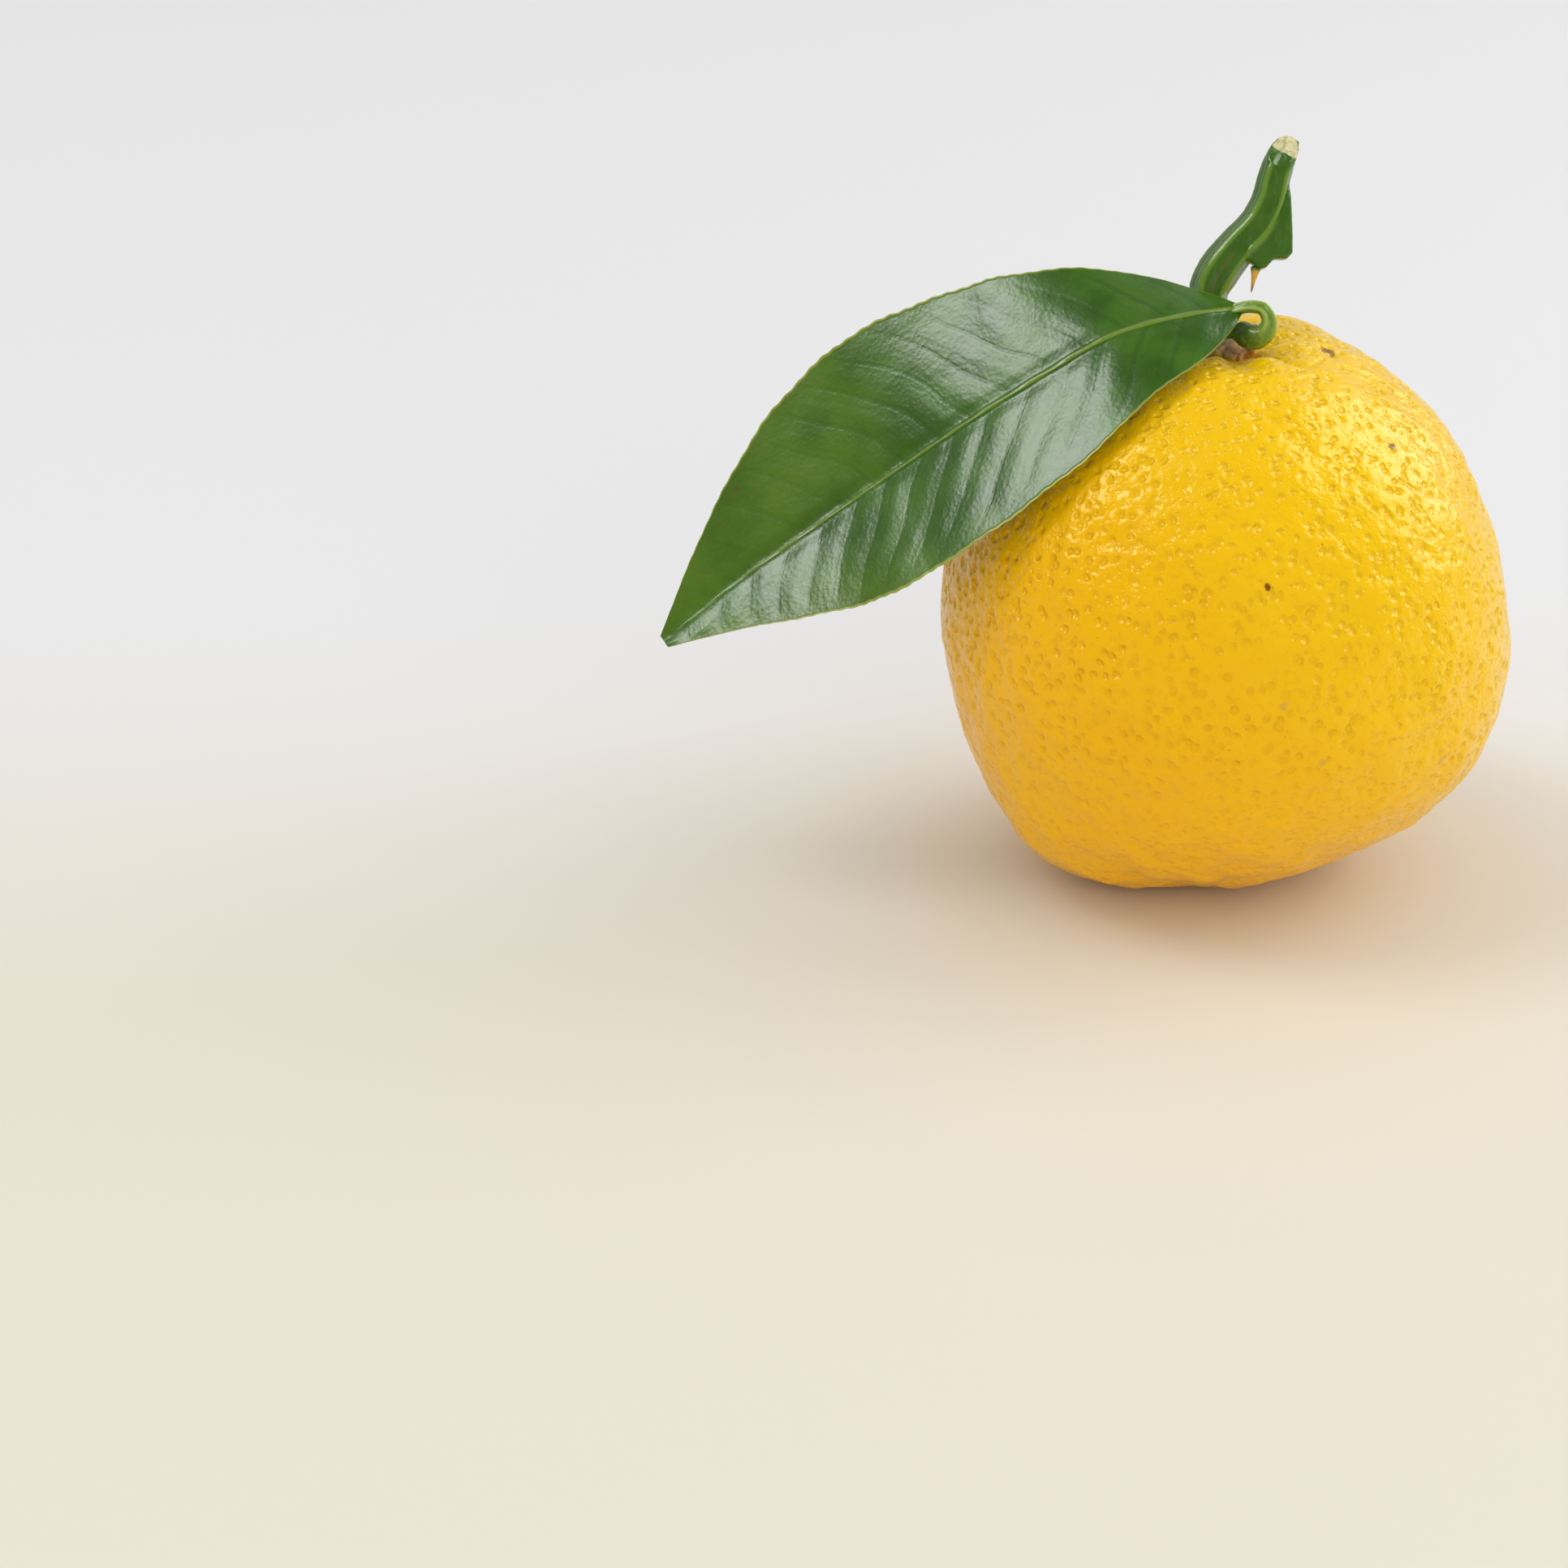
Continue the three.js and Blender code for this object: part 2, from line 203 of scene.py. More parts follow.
class Sheet:
    """A node tree, of a material or of a modifier, that nodes are added to."""

    def __init__(self, tree):
        self.tree = tree

    def add(self, kind, settings=None, inputs=None, out=0):
        """Adds a node, sets it up, fills its sockets with values or links, and gives an output."""
        node = self.tree.nodes.new(kind)
        for name, value in (settings or {}).items():
            setattr(node, name, value)
        for name, value in (inputs or {}).items():
            if isinstance(value, Link):
                self.tree.links.new(value.socket, node.inputs[name])
            else:
                node.inputs[name].default_value = value
        return Link(self, node.outputs[out])

    def place(self):
        if self.tree.type == "GEOMETRY":
            return self.add("GeometryNodeInputPosition")
        return self.add("ShaderNodeTexCoord", out="Object")

    def noted(self, name):
        """A vector that note() left on the mesh."""
        if self.tree.type == "GEOMETRY":
            settings = {"data_type": "FLOAT_VECTOR"}
            return self.add("GeometryNodeInputNamedAttribute", settings, {"Name": name})
        return self.add("ShaderNodeAttribute", {"attribute_name": name}, out="Vector")

    def parts(self, vector):
        node = self.add("ShaderNodeSeparateXYZ", {}, {0: vector}).socket.node
        return [Link(self, socket) for socket in node.outputs]

    def join(self, x, y, z):
        return self.add("ShaderNodeCombineXYZ", {}, {0: x, 1: y, 2: z})

    def vector(self, operation, first, second, out=0):
        return self.add("ShaderNodeVectorMath", {"operation": operation}, {0: first, 1: second}, out)

    def noise(self, place, grain, detail=2.0, out="Fac"):
        inputs = {"Vector": place, "Scale": 1 / grain, "Detail": detail}
        return self.add("ShaderNodeTexNoise", {}, inputs, out)

    def wander(self, place, grain, amount):
        """The place moved about by a noise, so that a pattern on it loses its evenness."""
        stray = self.vector("SUBTRACT", self.noise(place, grain, 1.0, "Color"), (0.5, 0.5, 0.5))
        inputs = {0: stray, 1: (amount,) * 3, 2: place}
        return self.add("ShaderNodeVectorMath", {"operation": "MULTIPLY_ADD"}, inputs)

    def cells(self, place, size):
        """The distance to the nearest of the points that are scattered size apart, in sizes."""
        inputs = {"Vector": place, "Scale": 1 / size, "Randomness": 1}
        return self.add("ShaderNodeTexVoronoi", {"feature": "F1"}, inputs, "Distance")

    def mix(self, share, first, second):
        """A colour between two."""
        inputs = {0: share, 6: first, 7: second}
        return self.add("ShaderNodeMix", {"data_type": "RGBA"}, inputs, 2)

    def bump(self, height):
        return self.add("ShaderNodeBump", {}, {"Strength": 1, "Distance": 1, "Height": height})


def material(name, look, **constants):
    """A Principled material: constants go on its sockets, look(sheet) gives the links for the rest."""
    made = bpy.data.materials.new(name)
    made.use_nodes = True
    shader = made.node_tree.nodes["Principled BSDF"]
    for socket, value in constants.items():
        shader.inputs[socket.replace("_", " ")].default_value = value
    for socket, link in look(Sheet(made.node_tree)).items():
        made.node_tree.links.new(link.socket, shader.inputs[socket])
    return made


# ---------------------------------------------------------------- working on a piece


def select(piece):
    bpy.ops.object.select_all(action="DESELECT")
    piece.select_set(True)
    bpy.context.view_layer.objects.active = piece


def started(name):
    """Names the primitive that was just added."""
    piece = bpy.context.object
    piece.name = piece.data.name = name
    return piece


def read(piece, name):
    flat = np.empty(len(piece.data.vertices) * 3, np.float32)
    piece.data.vertices.foreach_get(name, flat)
    return flat.reshape(-1, 3).astype(float)


def points(piece):
    return read(piece, "co")


def facing(piece):
    return read(piece, "normal")


def put(piece, places):
    piece.data.vertices.foreach_set("co", np.asarray(places, np.float32).ravel())
    piece.data.update()


def note(piece, name, vectors):
    """Leaves a vector on every vertex, for Sheet.noted to read."""
    layer = piece.data.attributes.new(name, "FLOAT_VECTOR", "POINT")
    layer.data.foreach_set("vector", np.asarray(vectors, np.float32).ravel())


def edit(piece, change):
    """Runs an edit-mode operator on all of a piece."""
    select(piece)
    bpy.ops.object.mode_set(mode="EDIT")
    bpy.ops.mesh.select_all(action="SELECT")
    change()
    bpy.ops.object.mode_set(mode="OBJECT")


def work(piece, kind, **settings):
    """Puts one modifier on a piece and applies it."""
    select(piece)
    modifier = piece.modifiers.new(kind.title(), kind)
    for name, value in settings.items():
        setattr(modifier, name, value)
    bpy.ops.object.modifier_apply(modifier=modifier.name)


def smooth(piece, rounds):
    work(piece, "SMOOTH", factor=0.5, iterations=rounds)


def press(piece, relief):
    """Lifts the skin of a piece along its normals by relief(sheet), in metres."""
    tree = bpy.data.node_groups.new("Relief", "GeometryNodeTree")
    tree.interface.new_socket("Geometry", in_out="INPUT", socket_type="NodeSocketGeometry")
    tree.interface.new_socket("Geometry", in_out="OUTPUT", socket_type="NodeSocketGeometry")
    sheet = Sheet(tree)
    entry = sheet.add("NodeGroupInput")
    offset = sheet.add(
        "ShaderNodeVectorMath", {"operation": "SCALE"},
        {0: sheet.add("GeometryNodeInputNormal"), "Scale": relief(sheet)},
    )
    moved = sheet.add("GeometryNodeSetPosition", {}, {"Geometry": entry, "Offset": offset})
    end = tree.nodes.new("NodeGroupOutput")
    tree.links.new(moved.socket, end.inputs[0])
    work(piece, "NODES", node_group=tree)
    bpy.data.node_groups.remove(tree)


def copy_of(node, name):
    """A welded copy of a CAD node, to be worked into a finished piece."""
    piece = bpy.data.objects.new(name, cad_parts[node].data.copy())
    piece.data.name = name
    piece.data.materials.clear()
    bpy.context.scene.collection.objects.link(piece)
    edit(piece, lambda: bpy.ops.mesh.remove_doubles(threshold=0.001 * MM))
    return piece


def softened(piece, voxel, rounds):
    """Rebuilds the skin from small even faces and smooths it, which melts the corners together."""
    work(piece, "REMESH", mode="VOXEL", voxel_size=voxel, adaptivity=0)
    smooth(piece, rounds)


def hand_over(piece, node, finish):
    """Gives a finished piece its material and its place in the part."""
    piece.data.materials.clear()
    piece.data.materials.append(finish)
    select(piece)
    bpy.ops.object.shade_smooth()
    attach(piece, "root")
    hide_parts(node)


def smooth_route(route, steps=ROUTE_STEPS):
    """Evenly spaced points on the centripetal curve through a route, and its length."""
    given = np.array(route, float)
    given = np.vstack([2 * given[0] - given[1], given, 2 * given[-1] - given[-2]])
    share = np.linspace(0, 1, 60, endpoint=False)[:, None]
    stretches = []
    for a, b, c, d in zip(given, given[1:], given[2:], given[3:]):
        before, here, after = (math.sqrt(math.dist(*ends)) for ends in ((a, b), (b, c), (c, d)))
        leave = ((b - a) / before - (c - a) / (before + here) + (c - b) / here) * here
        arrive = ((c - b) / here - (d - b) / (here + after) + (d - c) / after) * here
        stretches.append(
            (2 * share**3 - 3 * share**2 + 1) * b + (share**3 - 2 * share**2 + share) * leave
            + (3 * share**2 - 2 * share**3) * c + (share**3 - share**2) * arrive
        )
    fine = np.vstack([*stretches, given[-2]])
    run = np.concatenate([[0], np.cumsum(np.linalg.norm(np.diff(fine, axis=0), axis=1))])
    even = np.linspace(0, run[-1], steps)
    return np.column_stack([np.interp(even, run, fine[:, axis]) for axis in range(3)]), run[-1]


def stem_route(route):
    return [tuple(STEM_FRAME @ Vector(point)) for point in route]


def eased(pairs, at):
    """Reads a table of (distance, value) pairs along a smooth curve through them."""
    x, y = np.array(pairs, float).T
    before = np.maximum(np.arange(len(x)) - 1, 0)
    after = np.minimum(np.arange(len(x)) + 1, len(x) - 1)
    slope = (y[after] - y[before]) / (x[after] - x[before])
    at = np.clip(at, x[0], x[-1])
    left = np.clip(np.searchsorted(x, at, side="right") - 1, 0, len(x) - 2)
    width = x[left + 1] - x[left]
    t = (at - x[left]) / width
    return (
        (1 + 2 * t) * (1 - t) ** 2 * y[left] + t * t * (3 - 2 * t) * y[left + 1]
        + t * (1 - t) ** 2 * width * slope[left] + t * t * (t - 1) * width * slope[left + 1]
    )


def along_route(piece, route):
    """For every vertex: its distance along a route, in metres and as a share of the whole, how far out it
    lies, its angle round the route from the route's right towards its front, how far it lies past the
    nearest point of the route, and the route's way there."""
    path, length = smooth_route(stem_route(route))
    path, length = path * MM, length * MM
    tangent = np.gradient(path, axis=0)
    tangent /= np.linalg.norm(tangent, axis=1)[:, None]
    front = np.array(STEM_FRAME.to_3x3() @ Vector((0, 0, 1)))
    right = np.cross(tangent, front)
    right /= np.linalg.norm(right, axis=1)[:, None]
    ahead = np.cross(right, tangent)
    places = points(piece)
    nearest = np.concatenate([
        np.argmin(((chunk[:, None] - path[None]) ** 2).sum(2), axis=1)
        for chunk in np.array_split(places, max(1, len(places) // 4000))
    ])
    offset = places - path[nearest]
    sideways, forwards = (offset * right[nearest]).sum(1), (offset * ahead[nearest]).sum(1)
    out = np.hypot(sideways, forwards)
    beyond = (offset * tangent[nearest]).sum(1)
    share = nearest / (ROUTE_STEPS - 1)
    return {
        "along": share * length, "share": share, "out": out, "around": np.arctan2(forwards, sideways),
        "beyond": beyond, "tangent": tangent[nearest], "length": length,
    }


# ---------------------------------------------------------------- fruit


def gland_pits(sheet, place, spacing):
    """0 on the skin between the oil glands, 1 in the middle of one."""
    near = sheet.cells(sheet.wander(place, 1.4 * MM, 0.7 * MM), spacing)
    return near.ease(0.5, 0.06)


def gland_strength(sheet, place):
    """The glands are pressed deep round the shoulder and are shallow and soft below."""
    height = sheet.parts(place)[2]
    patch = sheet.noise(place, 9 * MM)
    return (height.ease(8 * MM, 42 * MM) * 0.6 + 0.4) * (patch * 1.2 + 0.45)


def rind_relief(sheet, settings):
    place = sheet.place()
    x, y, z = sheet.parts(place)
    right, back = x - STEM_HOLLOW[0], y - STEM_HOLLOW[1]
    reach = (right * right + back * back) ** 0.5
    heading = back.math("ARCTAN2", right)

    lumps = (sheet.noise(place, 8 * MM, 1.0) - 0.5) * settings.lump_height
    dips = (sheet.noise(place, 3.6 * MM, 1.0) - 0.5) * settings.dip_height
    low_lumps = (sheet.noise(place, 5 * MM, 1.0) - 0.5) * (1.6 * MM) * z.ease(20 * MM, 4 * MM)
    pits = gland_pits(sheet, place, settings.gland_spacing) * gland_strength(sheet, place)

    folds = (heading * FOLDS + sheet.noise(place, 6 * MM) * 5).math("SINE") * (FOLD_DEPTH * MM)
    folds = folds * reach.ease(12 * MM, 6 * MM) * reach.ease(3 * MM, 4.5 * MM)
    across = right * math.sin(GROOVE_HEADING) - back * math.cos(GROOVE_HEADING)
    across = across + (sheet.noise(place, 5 * MM, 1.0) - 0.5) * (2.5 * MM)
    ahead = right * math.cos(GROOVE_HEADING) + back * math.sin(GROOVE_HEADING)
    groove = across.size().ease(0.9 * MM, 0) * ahead.ease(3 * MM, 5 * MM) * ahead.ease(15 * MM, 8 * MM)

    top = z.ease(60 * MM, 64 * MM)
    height = lumps + dips + low_lumps - pits * settings.gland_depth
    height = height + (folds - groove * (GROOVE_DEPTH * MM)) * top
    return height * z.ease(0.4 * MM, 4 * MM)


def rind_look(sheet, settings):
    place = sheet.place()
    x, _, z = sheet.parts(place)
    pits = gland_pits(sheet, place, settings.gland_spacing)
    deep = gland_strength(sheet, place)
    fine = sheet.cells(sheet.wander(place, 0.8 * MM, 0.3 * MM), 0.9 * MM).ease(0.34, 0.1)
    grain = sheet.noise(place, 0.5 * MM, 3.0)

    colour = sheet.mix(pits * deep * 0.5 + fine * 0.1, settings.rind_colour, settings.gland_colour)
    patchy = sheet.noise(place, 7 * MM, 3.0).ease(0.42, 0.72)
    colour = sheet.mix(patchy * 0.4, colour, settings.deep_colour)
    # Painted light: the colour turns a purer lemon yellow towards the lit top and right, and stays more
    # orange on the shaded lower left.
    painted_light_share = (z + x).ease(5 * MM, 75 * MM)
    colour = sheet.mix(painted_light_share * 0.75, colour, settings.painted_light_colour)

    dots = sheet.cells(place, 2.7 * MM).ease(0.05, 0.03) * sheet.noise(place, 9 * MM).ease(0.45, 0.6)
    colour = sheet.mix(dots * 0.75, colour, SPECK_BROWN)
    ragged = sheet.noise(place, 0.9 * MM, 3.0)
    scars = 0.0
    outward = sheet.vector("SUBTRACT", place, tuple(FRUIT_MIDDLE * MM))
    for middle, radius, pale in RIND_MARKS:
        way = tuple((Vector(middle) - FRUIT_MIDDLE).normalized())
        apart = sheet.vector("LENGTH", sheet.vector("CROSS_PRODUCT", outward, way), (0, 0, 0), "Value")
        mark = (apart + (ragged - 0.5) * (radius * 2.2 * MM)).ease(radius * MM, radius * 0.45 * MM)
        strength, tone = (0.5, SCAR_TAN) if pale else (0.95, MARK_BROWN)
        colour = sheet.mix(mark * strength, colour, tone)
        scars = mark + scars

    ripples = sheet.noise(place, 1.3 * MM, 2.0) * deep
    bump = fine * (-0.06 * MM) + grain * (0.02 * MM) - pits * deep * (PIT_BUMP * MM)
    bump = bump + ripples * (RIPPLE_BUMP * MM)
    return {
        "Base Color": colour,
        "Roughness": sheet.noise(place, 4 * MM) * 0.1 + 0.19 + pits * 0.08 + scars * 0.1,
        "Normal": sheet.bump(bump),
    }


class FruitSettings(bpy.types.PropertyGroup):
    rind_colour: bpy.props.FloatVectorProperty(
        name="Rind", description="Colour of the skin between the oil glands",
        subtype="COLOR", size=4, min=0, max=1, default=(0.94, 0.49, 0, 1))
    gland_colour: bpy.props.FloatVectorProperty(
        name="Glands", description="Colour in the middle of an oil gland",
        subtype="COLOR", size=4, min=0, max=1, default=(0.88, 0.42, 0, 1))
    deep_colour: bpy.props.FloatVectorProperty(
        name="Riper patches", description="Colour of the patches that are a little riper",
        subtype="COLOR", size=4, min=0, max=1, default=(0.93, 0.44, 0, 1))
    # Painted light: the yellower colour of the fruit's lit top and right side.
    painted_light_colour: bpy.props.FloatVectorProperty(
        name="Painted light side", description="Colour towards the top and right, a purer lemon yellow",
        subtype="COLOR", size=4, min=0, max=1, default=(0.93, 0.6, 0.002, 1))
    gland_spacing: bpy.props.FloatProperty(
        name="Gland spacing", description="Distance between the larger oil glands",
        unit="LENGTH", min=0.5 * MM, default=1.35 * MM)
    gland_depth: bpy.props.FloatProperty(
        name="Gland depth", description="How far the deepest oil glands are pressed in",
        unit="LENGTH", min=0, default=0.26 * MM)
    lump_height: bpy.props.FloatProperty(
        name="Lumps", description="Height of the broad lumps of the rind",
        unit="LENGTH", min=0, default=1.3 * MM)
    dip_height: bpy.props.FloatProperty(
        name="Dips", description="Height of the smaller waves of the rind",
        unit="LENGTH", min=0, default=0.5 * MM)


class YUZU_OT_fruit(bpy.types.Operator):
    """Models the fruit and its pitted rind"""

    bl_idname = "yuzu.fruit"
    bl_label = "Fruit"

    def execute(self, context):
        settings = context.scene.yuzu_fruit
        low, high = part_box("fruit")
        bpy.ops.object.select_all(action="DESELECT")
        bpy.ops.mesh.primitive_cube_add(size=2)
        piece = started("fruit_rind")
        edit(piece, lambda: bpy.ops.mesh.subdivide(number_cuts=BALL_CUTS))

        ball = np.tan(points(piece) * math.pi / 4)
        ball /= np.linalg.norm(ball, axis=1)[:, None]
        put(piece, ball * (high.x - low.x) / 2 + np.array((0, 0, (low.z + high.z) / 2)))
        work(
            piece, "SHRINKWRAP", target=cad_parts["fruit"], wrap_method="PROJECT",
            use_negative_direction=True, use_positive_direction=True,
        )
        smooth(piece, RIND_ROUNDS)
        press(piece, lambda sheet: rind_relief(sheet, settings))
        skin = points(piece)
        skin[:, 2] = np.maximum(skin[:, 2], 0)
        put(piece, skin)
        finish = material(
            "Yuzu rind", lambda sheet: rind_look(sheet, settings), IOR=1.42,
            Specular_Tint=(1, 0.95, 0.55, 1), Subsurface_Weight=0.12, Subsurface_Radius=(1, 0.5, 0.06),
            Subsurface_Scale=2 * MM,
        )
        hand_over(piece, "fruit", finish)
        return {"FINISHED"}


# ---------------------------------------------------------------- calyx


def calyx_look(sheet, settings):
    place = sheet.place()
    age = sheet.noise(place, 1.8 * MM, 4.0)
    left = sheet.parts(place)[0].ease(0.5 * MM, -1.5 * MM)
    colour = sheet.mix(left * 0.85, settings.calyx_colour, settings.scar_colour)
    colour = sheet.mix(age.ease(0.48, 0.62) * 0.5, colour, CALYX_SHADE)
    flecks = sheet.noise(place, 0.9 * MM, 3.0).ease(0.58, 0.68)
    return {
        "Base Color": sheet.mix(flecks * 0.6, colour, CALYX_DARK),
        "Roughness": age * 0.3 + 0.55,
        "Normal": sheet.bump(sheet.noise(place, 0.35 * MM, 4.0) * (0.12 * MM)),
    }


class YUZU_OT_calyx(bpy.types.Operator):
    """Models the dry collar of the calyx at the foot of the twig"""

    bl_idname = "yuzu.calyx"
    bl_label = "Calyx"

    def execute(self, context):
        settings = context.scene.yuzu_stem
        piece = copy_of("calyx", "calyx_collar")
        softened(piece, CALYX_VOXEL * MM, CALYX_ROUNDS)
        press(piece, lambda sheet: (sheet.noise(sheet.place(), 1.3 * MM, 3.0) - 0.5) * (0.5 * MM))
        # Its underside is let down on the rind.
        skin, way = points(piece), facing(piece)
        skin[:, 2] -= 0.8 * MM * np.clip(-way[:, 2] * 1.5, 0, 1)
        put(piece, skin)
        smooth(piece, 2)
        finish = material("Dry calyx", lambda sheet: calyx_look(sheet, settings))
        hand_over(piece, "calyx", finish)
        return {"FINISHED"}


# ---------------------------------------------------------------- twig and thorn


def bark_look(sheet, settings):
    place = sheet.place()
    along, ridge, cut = sheet.parts(sheet.noted("lie"))
    streaks = sheet.noise(sheet.vector("MULTIPLY", place, (1, 1, 0.35)), 0.7 * MM, 4.0)
    patches = sheet.noise(place, 3 * MM, 3.0).ease(0.4, 0.65)
    colour = sheet.mix(patches * 0.7, settings.facet_colour, BARK_PATCH)
    # The ridges' own paler green, which also stands in for a painted highlight along them.
    colour = sheet.mix(ridge.ease(0.4, 1) * 0.8, colour, settings.ridge_tone_and_highlight)
    colour = sheet.mix(streaks.ease(0.45, 0.75) * 0.25, colour, BARK_STREAK)
    brown = ridge.ease(-0.82, -0.98) * sheet.noise(place, 3 * MM).ease(0.4, 0.6)
    colour = sheet.mix(brown * along.ease(14 * MM, 9 * MM) * 0.5, colour, BARK_BROWN)
    pale = sheet.mix(sheet.noise(place, 0.5 * MM).ease(0.4, 0.7), settings.pith_colour, PITH_SHADE)
    colour = sheet.mix(cut.ease(0.12, 0.22), colour, pale)
    grain = sheet.noise(place, 0.4 * MM, 3.0) * (0.03 * MM)
    return {
        "Base Color": colour,
        "Roughness": streaks * 0.1 + 0.21 + cut.ease(0.1, 0.2) * 0.4,
        "Normal": sheet.bump(grain + cut * sheet.noise(place, 0.3 * MM) * (0.2 * MM)),
    }


def thorn_ends():
    """The thorn's base and tip, in metres."""
    return [MM * (STEM_FRAME @ Vector(end)) for end in (THORN_BASE, THORN_TIP)]


def thorn_look(sheet, settings):
    place = sheet.place()
    base, tip = thorn_ends()
    share = sheet.vector("DISTANCE", place, tuple(tip), "Value") * (1 / (base - tip).length)
    colour = sheet.mix(share.ease(0, 0.5), THORN_POINT_BROWN, settings.thorn_colour)
    colour = sheet.mix(share.ease(0.75, 0.95), colour, settings.facet_colour)
    return {
        "Base Color": colour,
        "Roughness": sheet.noise(place, 0.5 * MM) * 0.2 + 0.35,
        "Normal": sheet.bump(sheet.noise(place, 0.25 * MM) * (0.02 * MM)),
    }


class StemSettings(bpy.types.PropertyGroup):
    facet_colour: bpy.props.FloatVectorProperty(
        name="Twig hollows", description="Colour of the twig between its ridges",
        subtype="COLOR", size=4, min=0, max=1, default=(0.04, 0.12, 0.003, 1))
    # Paler green of the ridges, partly a painted highlight along them.
    ridge_tone_and_highlight: bpy.props.FloatVectorProperty(
        name="Twig ridges", description="Colour of the ridges that run up the twig",
        subtype="COLOR", size=4, min=0, max=1, default=(0.16, 0.29, 0.02, 1))
    pith_colour: bpy.props.FloatVectorProperty(
        name="Pith", description="Colour of the cut end of the twig",
        subtype="COLOR", size=4, min=0, max=1, default=(0.7, 0.64, 0.34, 1))
    thorn_colour: bpy.props.FloatVectorProperty(
        name="Thorn", description="Colour of the thorn",
        subtype="COLOR", size=4, min=0, max=1, default=(0.7, 0.38, 0.05, 1))
    calyx_colour: bpy.props.FloatVectorProperty(
        name="Calyx", description="Colour of the dry calyx",
        subtype="COLOR", size=4, min=0, max=1, default=(0.58, 0.26, 0.012, 1))
    scar_colour: bpy.props.FloatVectorProperty(
        name="Calyx scars", description="Colour of the corky scars on the calyx",
        subtype="COLOR", size=4, min=0, max=1, default=(0.52, 0.36, 0.11, 1))
    ridge_height: bpy.props.FloatProperty(
        name="Ridge height", description="How far the twig's ridges stand out",
        unit="LENGTH", min=0, default=0.22 * MM)


class YUZU_OT_twig(bpy.types.Operator):
    """Models the ridged twig with its cut end, and the thorn on its side"""

    bl_idname = "yuzu.twig"
    bl_label = "Twig and thorn"

    def execute(self, context):
        settings = context.scene.yuzu_stem
        piece = copy_of("twig", "twig_stem")
        softened(piece, TWIG_VOXEL * MM, TWIG_ROUNDS)
        lie = along_route(piece, TWIG_ROUTE)
        ridge = np.cos(TWIG_RIDGES * lie["around"] + math.radians(TWIG_RIDGE_TURN))
        old_ridge = np.cos(BODY_RIDGES * lie["around"] + math.radians(BODY_RIDGE_TURN))
        rim = lie["out"] / (MM * eased(TWIG_WIDTHS, lie["share"]))
        bare = np.clip(5 * (1.3 - rim), 0, 1)  # 1 off the leaf cushion
        put(piece, points(piece) - facing(piece) * (bare * old_ridge * BROAD_RIDGE * MM)[:, None])
        end = (lie["share"] > 0.995) & (lie["beyond"] > -0.25 * MM)
        cut = np.where(end, np.clip(1 - rim, 0, 1) ** 0.5, 0)
        bare *= np.clip((1 - lie["share"]) / 0.1, 0, 1)
        note(piece, "lie", np.column_stack([lie["along"], 0.1 + (ridge - 0.1) * bare, cut]))

        def ridges(sheet):
            _, ridge, cut = sheet.parts(sheet.noted("lie"))
            rough = sheet.noise(sheet.place(), 0.8 * MM, 3.0) - 0.5
            crest = ridge.ease(0.2, 1) - ridge.ease(-0.2, -1) * 0.6
            roughness = rough * (cut * (0.35 * MM) + 0.1 * MM)
            return crest * settings.ridge_height + roughness - cut * (0.12 * MM)

        press(piece, ridges)
        # The foot is let down on the calyx, and the cut slopes to the front.
        skin = points(piece)
        near_cut = np.clip((lie["share"] - 0.75) / 0.25, 0, 1) ** 1.5
        slope = near_cut * np.cos(lie["around"] - math.radians(80)) * lie["out"]
        skin -= (slope * 0.5 + near_cut * 0.5 * MM)[:, None] * lie["tangent"]
        skin -= np.clip(1 - lie["along"] / (1.5 * MM), 0, 1)[:, None] * lie["tangent"] * 1.1 * MM
        put(piece, skin)
        smooth(piece, 4)
        finish = material("Twig bark", lambda sheet: bark_look(sheet, settings), IOR=1.5)
        hand_over(piece, "twig", finish)

        base, tip = thorn_ends()
        bpy.ops.object.select_all(action="DESELECT")
        bpy.ops.mesh.primitive_cone_add(
            vertices=20, radius1=THORN_RADIUS * MM, radius2=THORN_POINT * MM, depth=(tip - base).length,
            location=(base + tip) / 2, rotation=(tip - base).to_track_quat("Z", "Y").to_euler(),
        )
        thorn = started("thorn_spike")
        bpy.ops.object.transform_apply(location=True, rotation=True, scale=True)
        edit(thorn, lambda: bpy.ops.mesh.subdivide(number_cuts=5))
        spike = points(thorn)
        share = ((spike - np.array(base)) @ np.array((tip - base).normalized())) / (tip - base).length
        share = np.clip(share, 0, 1)
        waist = 1 - THORN_WAIST * np.sin(share * math.pi)
        core = np.array(base) + share[:, None] * np.array(tip - base)
        put(thorn, core + (spike - core) * waist[:, None])
        work(thorn, "SUBSURF", levels=1, render_levels=1)
        finish = material("Thorn", lambda sheet: thorn_look(sheet, settings))
        hand_over(thorn, "thorn", finish)
        return {"FINISHED"}


# ---------------------------------------------------------------- leaf


def side_veins(sheet, lie, spacing):
    """0 in the middle of a side vein to 0.5 halfway to the next. The veins lean towards the tip as they
    leave the midrib."""
    along, across, _ = sheet.parts(lie)
    reach = across.size()
    side = across.math("SIGN") * (spacing * 0.23)
    stray = (sheet.noise(sheet.join(along, across, 0), 15 * MM, 1.0) - 0.5) * (4 * MM)
    start = along - reach * 0.6 - reach * reach * 9 + stray + side
    turn = (start * (1 / spacing)).math("FRACT")
    return (turn - 0.5).size()


def vein_lines(sheet, lie, settings):
    main = side_veins(sheet, lie, settings.vein_spacing).ease(0.11, 0.02)
    minor = side_veins(sheet, lie, settings.vein_spacing * 0.37).ease(0.3, 0.05) * 0.3
    reach = sheet.parts(lie)[2].size()
    return (main + minor).at_most(1) * reach.ease(1, 0.75)


